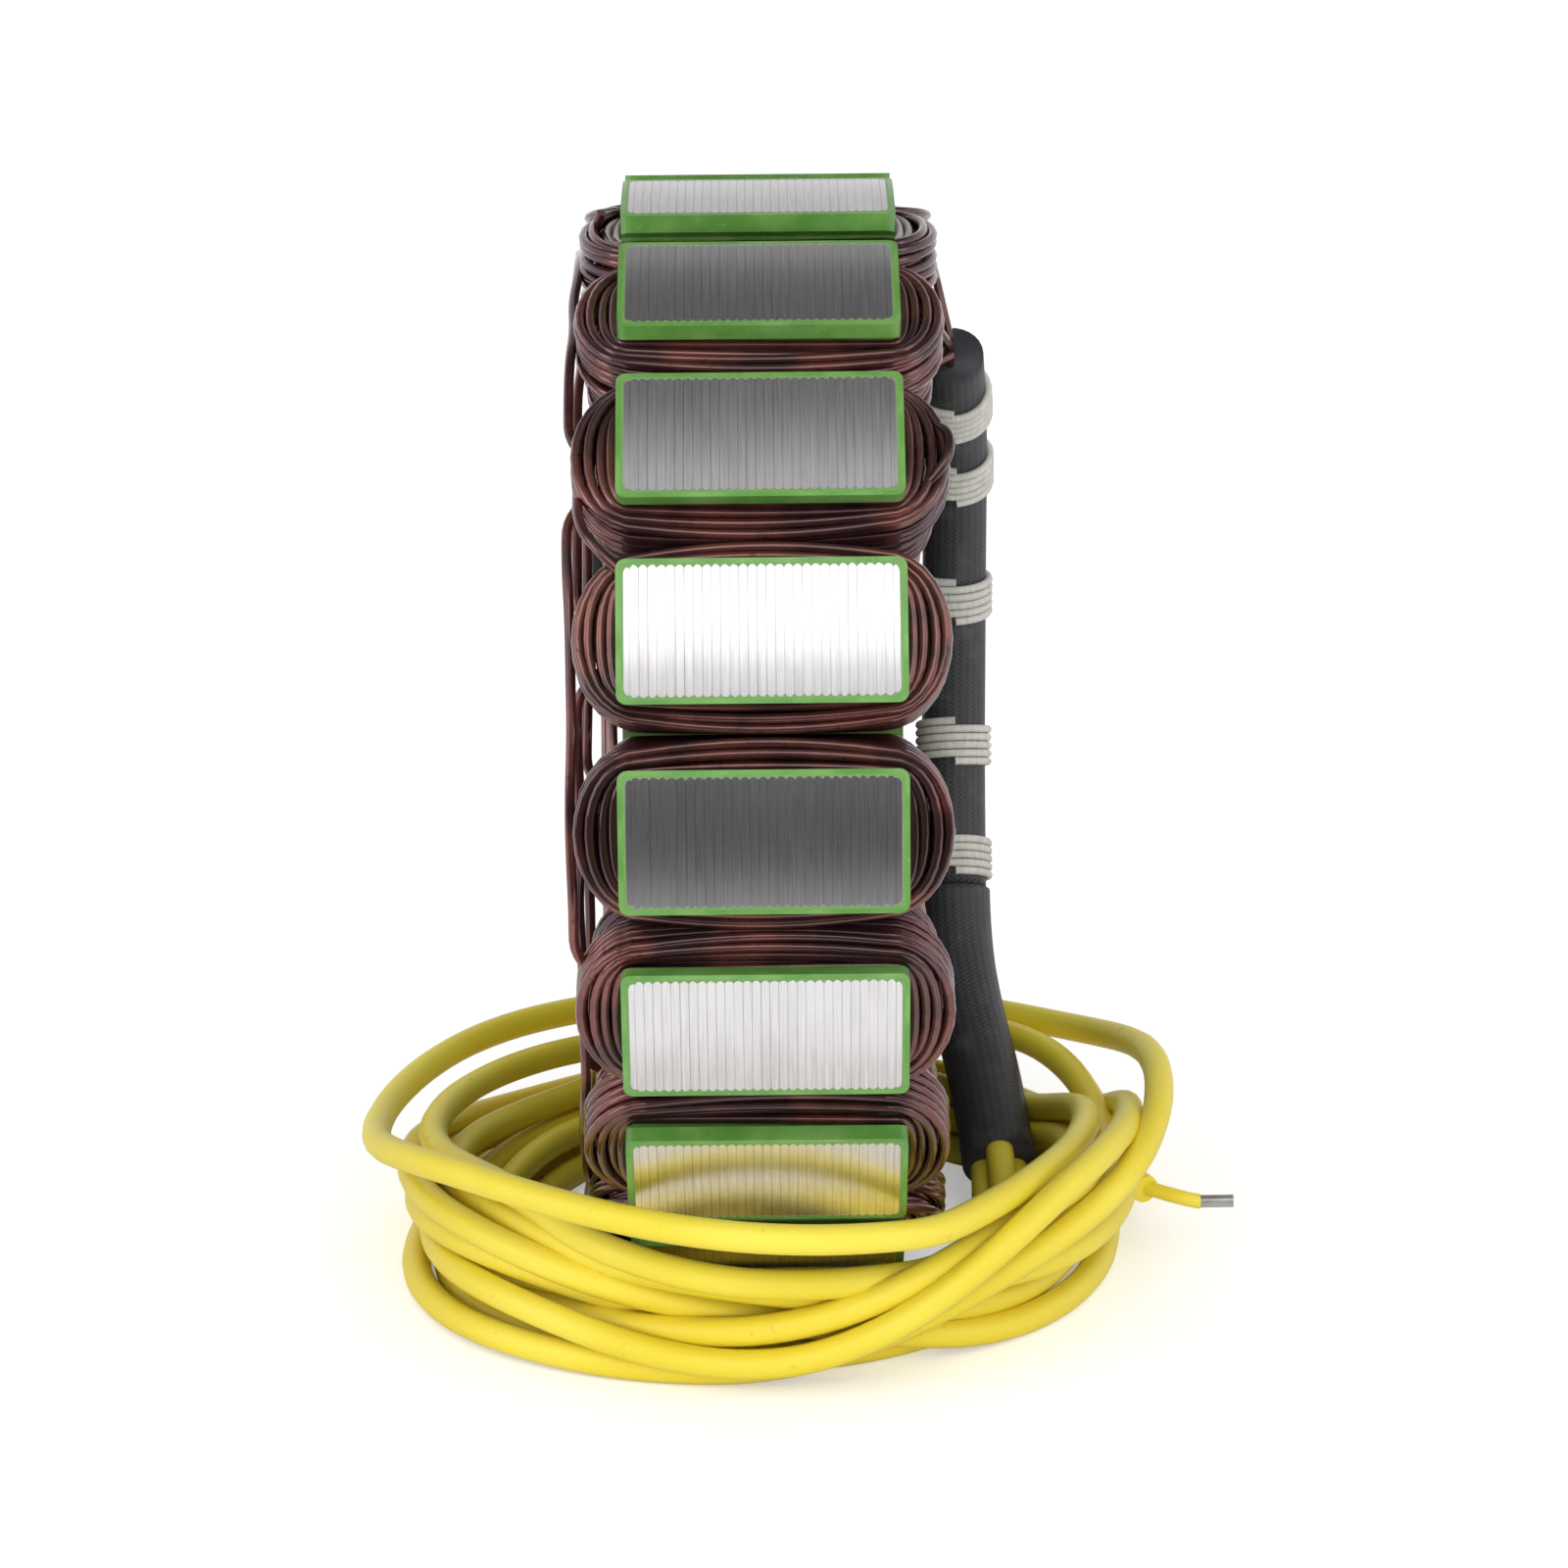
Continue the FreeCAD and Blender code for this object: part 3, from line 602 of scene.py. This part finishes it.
TIP_DIAMETER = 1.3
BARE_LENGTH = 5

# Where each lead passes, a radius and a height every eighth of a turn: it starts at the front
# right, then goes on from the front by the left, the back and the right to the front right again
STARTS = {"a": (25.6, 1.5), "b": (28.6, 1.5), "c": (31.2, 1.5)}
TURNS = {
    "a": [
        ((28.3, 1.5), (27.6, 1.5), (24.6, 1.5), (26.5, 1.5),
         (31.0, 1.5), (29.8, 1.5), (30.9, 4.4), (32.6, 4.4)),
        ((35.2, 11.0), (34.6, 13.6), (32.0, 10.4), (32.5, 7.2),
         (36.8, 7.2), (33.0, 7.0), (31.6, 15.6), (35.0, 19.9)),
        ((41.8, 21.8), (40.6, 21.4), (39.2, 14.6), (39.6, 14.2),
         (40.0, 13.0), (39.6, 13.4), (36.8, 18.0), (37.6, 11.7)),
        ((36.4, 1.5), (38.6, 1.5), (33.9, 1.5), (35.5, 1.5), (39.8, 1.5), (37.0, 1.5), (37.2, 5.0)),
    ],
    "b": [
        ((31.2, 1.5), (30.5, 1.5), (27.6, 1.5), (29.5, 1.5),
         (34.0, 1.5), (32.8, 1.5), (34.4, 9.0), (36.5, 9.0)),
        ((30.6, 8.8), (35.0, 5.6), (27.2, 4.4), (28.0, 4.4),
         (32.5, 4.4), (31.5, 4.4), (31.0, 11.5), (32.5, 12.5)),
        ((38.0, 14.8), (31.6, 16.8), (33.4, 14.0), (35.0, 12.2),
         (38.0, 10.3), (36.4, 14.2), (33.6, 12.0), (37.0, 16.0)),
        ((37.6, 7.4), (33.0, 4.2), (30.2, 4.4), (31.0, 4.4)),
    ],
    "c": [
        ((34.1, 1.5), (33.4, 1.5), (30.6, 1.5), (32.5, 1.5),
         (36.9, 1.5), (35.8, 1.5), (32.6, 1.5), (33.6, 1.5)),
        ((33.7, 7.4), (37.0, 13.2), (35.0, 9.9), (37.0, 4.4),
         (38.3, 4.4), (34.3, 4.4), (31.5, 7.5), (33.5, 7.2)),
        ((30.9, 5.4), (36.6, 10.3), (34.6, 7.0), (34.0, 4.4),
         (35.5, 4.4), (37.3, 4.5), (33.8, 15.0), (36.4, 18.7)),
        ((36.6, 5.7), (37.6, 7.4), (33.2, 4.4), (38.5, 1.5)),
    ],
}
LAST_ANGLE = {"a": -1440, "b": -1310, "c": -1290}
POINTS_PER_TURN = 36
SETTLING_ROUNDS = 160
# A strand's points this close in order are no neighbours of each other
OWN_POINTS = 7
STRAND_GAP = 0.06
RING_GAP = 0.1
SLEEVE_GAP = 0.2
# How far from the stack's middle a strand's points keep off the poles, and off the coils
POLE_REACH = STACK_HALF + 3.6
COIL_REACH = 20


def between(marks, place):
    """A smooth value between marks that are one apart."""
    k = min(max(int(place), 0), len(marks) - 2)
    t = min(max(place - k, 0), 1)
    before, here, after, beyond = [np.array(marks[min(max(k + i, 0), len(marks) - 1)]) for i in (-1, 0, 1, 2)]
    return 0.5 * (2 * here + (after - before) * t + (2 * before - 5 * here + 4 * after - beyond) * t ** 2
                  + (3 * here - before - 3 * after + beyond) * t ** 3)


def wound(name):
    """A lead's route: its given start, then its turns."""
    start = LEADS[name]
    x, y, _ = start[-1]
    begun = math.degrees(math.atan2(y, x))
    first_radius = math.hypot(x, y)
    marks = [STARTS[name]] + [mark for turn in TURNS[name] for mark in turn]
    points = []
    angle = begun
    while angle > LAST_ANGLE[name]:
        angle -= 360 / POINTS_PER_TURN
        radius, height = between(marks, (-45 - angle) / 45)
        joined = min((begun - angle) / 60, 1)
        radius = first_radius + (radius - first_radius) * joined * joined * (3 - 2 * joined)
        turn = math.radians(angle)
        points.append((radius * math.cos(turn), radius * math.sin(turn), TABLE + height))
    return [tuple(p) for p in start] + points


def settle(routes):
    """Move the strands apart, and away from the table, the ring and the sleeve."""
    held = len(LEADS["a"])
    points = np.array([p for route in routes for p in route])
    owner = np.concatenate([[k] * len(route) for k, route in enumerate(routes)])
    order = np.concatenate([np.arange(len(route)) for route in routes])
    begun = points.copy()
    free = order >= held
    near = (owner[:, None] == owner[None]) & (np.abs(order[:, None] - order[None]) < OWN_POINTS)
    gap = LEAD + STRAND_GAP
    sleeve_line = np.array(spline_points(LOWER_SLEEVE, 6) + spline_points(UPPER_SLEEVE, 6)[-12:])
    sleeve_room = (LOWER_SLEEVE_DIAMETER + LEAD) / 2 + SLEEVE_GAP
    bounds = np.flatnonzero(np.diff(owner)) + 1
    for _ in range(SETTLING_ROUNDS):
        along = np.concatenate([np.gradient(part, axis=0) for part in np.split(points, bounds)])
        along /= np.linalg.norm(along, axis=1)[:, None]
        apart = points[:, None] - points[None]
        aside = apart - (apart * along[None]).sum(2)[..., None] * along[None]
        off = np.linalg.norm(aside, axis=2)
        meets = (np.linalg.norm(apart, axis=2) < gap + 2.5) & (off < gap) & ~near
        push = (aside / (off[..., None] + 1e-6) * ((gap - off) * meets)[..., None]).sum(1)
        points = points + push * (0.5 / np.maximum(meets.sum(1), 1))[:, None] * free[:, None]
        shift = points - begun
        soft = 0.25 * shift[:-2] + 0.5 * shift[1:-1] + 0.25 * shift[2:]
        inside = (owner[1:-1] == owner[:-2]) & (owner[1:-1] == owner[2:])
        shift[1:-1][inside] = soft[inside]
        points = begun + shift * free[:, None]
        from_axis = np.hypot(points[:, 1], points[:, 2])
        across = np.abs(points[:, 0])
        rim = np.where(across < COIL_REACH, COIL_HEAD + 0.6, 0)
        rim = np.where(across < POLE_REACH, CORE_RADIUS + 0.1, rim)
        short = np.where(free & (rim > 0), np.maximum(rim + LEAD / 2 + RING_GAP - from_axis, 0), 0)
        points[:, 1:] += points[:, 1:] / from_axis[:, None] * short[:, None]
        to_sleeve = points[:, None] - sleeve_line[None]
        distance = np.linalg.norm(to_sleeve, axis=2)
        closest = distance.argmin(1)
        rows = np.arange(len(points))
        lack = np.where(free, np.maximum(sleeve_room - distance[rows, closest], 0), 0)
        points += to_sleeve[rows, closest] / distance[rows, closest][:, None] * lack[:, None]
        points[:, 2] = np.maximum(points[:, 2], TABLE + LEAD / 2 + 0.01)
    return [[tuple(p) for p in part] for part in np.split(points, bounds)]


def add_leads():
    names = sorted(LEADS)
    routes = settle([wound(name) for name in names])
    for name, route in zip(names, routes):
        if name == "a":
            route = route[:-2] + LEAD_A_END
        run = "lead_%s_run" % name
        replaced = ["lead_" + name] + (["lead_coil"] if name == "a" else [])
        piece = shown(run, nurbs(run, [route], LEAD, 4, 5), "yellow_lead", replaced)
        if name == "a":
            tail = nurbs("lead_tail_end", [[TAIL_START] + LEAD_TAIL + [LEAD_TIP[0]]], TAIL_DIAMETER)
            tip = nurbs("lead_tip_end", [[LEAD_TAIL[1]] + LEAD_TIP], TIP_DIAMETER)
            ends = [shown("lead_tail_end", tail, "yellow_lead", ["lead_tail"]),
                    shown("lead_tip_end", tip, "tinned_copper", ["lead_tip"])]
        else:
            last = Vector(route[-1])
            ahead = (last - Vector(route[-2])).normalized()
            bare = "lead_%s_tip" % name
            tip = nurbs(bare, [[last - ahead, last + ahead * BARE_LENGTH]], TAIL_DIAMETER)
            ends = [shown(bare, tip, "tinned_copper")]


# The nodes that keep their own shape

KEPT = {
    "lamination_stack": "bare_steel",
    "core_rivets": "rivet_steel",
    "star_splice": "black_sleeving",
    "star_wires": "enamelled_wire",
    "phase_wires": "enamelled_wire",
}


def finish_kept_nodes():
    for name, slot in KEPT.items():
        for holder in nodes[name].material_slots:
            holder.material = FINISH[slot]


# Floor, light and surroundings

def add_floor():
    """A pale table, lifted to white for the camera, with painted reflections: to glossy rays it glows
    brighter just in front of the ring and turns black further out, so what the metal sees of it ends a little
    in front of the ring.
    """
    made, t = material("pale_table")
    light = t.add("ShaderNodeLightPath").outputs
    _, y, _ = t.add("ShaderNodeSeparateXYZ", {0: t.place()}).outputs
    grain = t.noise(60, detail=3)
    tone = t.mix(grain, (0.86, 0.86, 0.86, 1), (0.90, 0.90, 0.90, 1))
    base = t.add("ShaderNodeBsdfDiffuse", {"Color": tone})
    far = t.blend(t.step(y, 0.05, 1.2), 0.36, 0.46)
    # Painted reflection: glossy rays see the table glow brighter just in front of the ring.
    ahead = t.math("MULTIPLY", t.step(y, -0.068, -0.090), 0.26)
    seen = t.math("MULTIPLY", light["Is Camera Ray"], far)
    seen = t.math("ADD", seen, t.math("MULTIPLY", light["Is Glossy Ray"], ahead))
    lift = t.add("ShaderNodeEmission", {"Color": (1, 1, 1, 1), "Strength": seen})
    plain = t.add("ShaderNodeAddShader", {0: base.outputs[0], 1: lift.outputs[0]})
    # Painted dark reflection: further in front, glossy rays see the table as black.
    dark = t.add("ShaderNodeEmission", {"Color": (0.05, 0.05, 0.055, 1)})
    beyond = t.math("MULTIPLY", t.step(y, -0.145, -0.185), light["Is Glossy Ray"])
    both = t.add("ShaderNodeMixShader", {0: beyond, 1: plain.outputs[0], 2: dark.outputs[0]})
    t.add("ShaderNodeOutputMaterial", {"Surface": both.outputs[0]})
    half = 2.0
    mesh = bpy.data.meshes.new("table_top")
    corners = [(-half, -half), (half, -half), (half, half), (-half, half)]
    mesh.from_pydata([(x, y, TABLE * MM) for x, y in corners], [], [(0, 1, 2, 3)])
    mesh.materials.append(made)
    table = bpy.data.objects.new("table_top", mesh)
    bpy.context.scene.collection.objects.link(table)


# How bright the room is in a reflection, by the height above the camera's side in degrees
ROOM = ((-180, 0.9), (-95, 0.9), (-20, 0.03), (8, 0.035), (22, 0.70), (52, 0.75), (62, 0.52), (78, 0.21),
        (92, 0.09), (122, 0.11), (138, 0.55), (160, 0.70), (172, 0.9), (180, 0.95))


def add_world():
    """White to the camera, even light on the object, and a room with dark and bright parts in reflections."""
    world = bpy.data.worlds.new("studio")
    world.use_nodes = True
    bpy.context.scene.world = world
    t = Tree(world.node_tree)
    light = t.add("ShaderNodeLightPath").outputs
    x, y, z = t.add("ShaderNodeSeparateXYZ", {0: t.add("ShaderNodeTexCoord").outputs["Generated"]}).outputs
    height = t.math("ARCTAN2", z, t.math("MULTIPLY", y, -1.0))
    room = t.ramp(t.math("DIVIDE", t.math("ADD", height, math.pi), 2 * math.pi),
                  [((angle + 180) / 360, value) for angle, value in ROOM])
    beside = t.step(t.math("ABSOLUTE", x), 0.55, 0.9)
    room = t.mix(beside, room, (0.84, 0.82, 0.85, 1))
    even = t.mix(light["Is Glossy Ray"], (0.74, 0.74, 0.74, 1), room)
    seen = t.math("MAXIMUM", light["Is Camera Ray"], light["Is Transmission Ray"])
    colour = t.mix(seen, even, (1, 1, 1, 1))
    background = t.add("ShaderNodeBackground", {"Color": colour, "Strength": 1.0})
    t.add("ShaderNodeOutputWorld", {"Surface": background.outputs[0]})


def add_lamp(name, place, size, radiance):
    """A soft box at a place in metres, turned to the ring."""
    data = bpy.data.lights.new(name, "AREA")
    data.shape = "RECTANGLE"
    data.size, data.size_y = size
    data.energy = radiance * math.pi * size[0] * size[1]
    lamp = bpy.data.objects.new(name, data)
    bpy.context.scene.collection.objects.link(lamp)
    turn = (-Vector(place)).to_track_quat("-Z", "Y")
    lamp.matrix_world = Matrix.LocRotScale(Vector(place), turn, None)
    return lamp


def add_lamps():
    rise = math.radians(38)
    add_lamp("key", (0, -1.0 * math.cos(rise), 1.0 * math.sin(rise)), (0.9, 0.34), 1.3)
    add_lamp("left_strip", (-0.75, -0.35, 0.25), (0.25, 0.6), 2.0)
    add_lamp("right_strip", (0.75, -0.35, 0.25), (0.25, 0.6), 1.2)
    fill = add_lamp("fill", (0, -1.1, 0.15), (1.2, 0.5), 3.3)
    fill.visible_glossy = False


add_camera()
add_leads()
add_sleeves()
add_coils()
add_crossovers()
add_loose_ends()
round_coat()
finish_kept_nodes()
add_floor()
add_world()
add_lamps()
bpy.context.scene.view_settings.view_transform = "Standard"
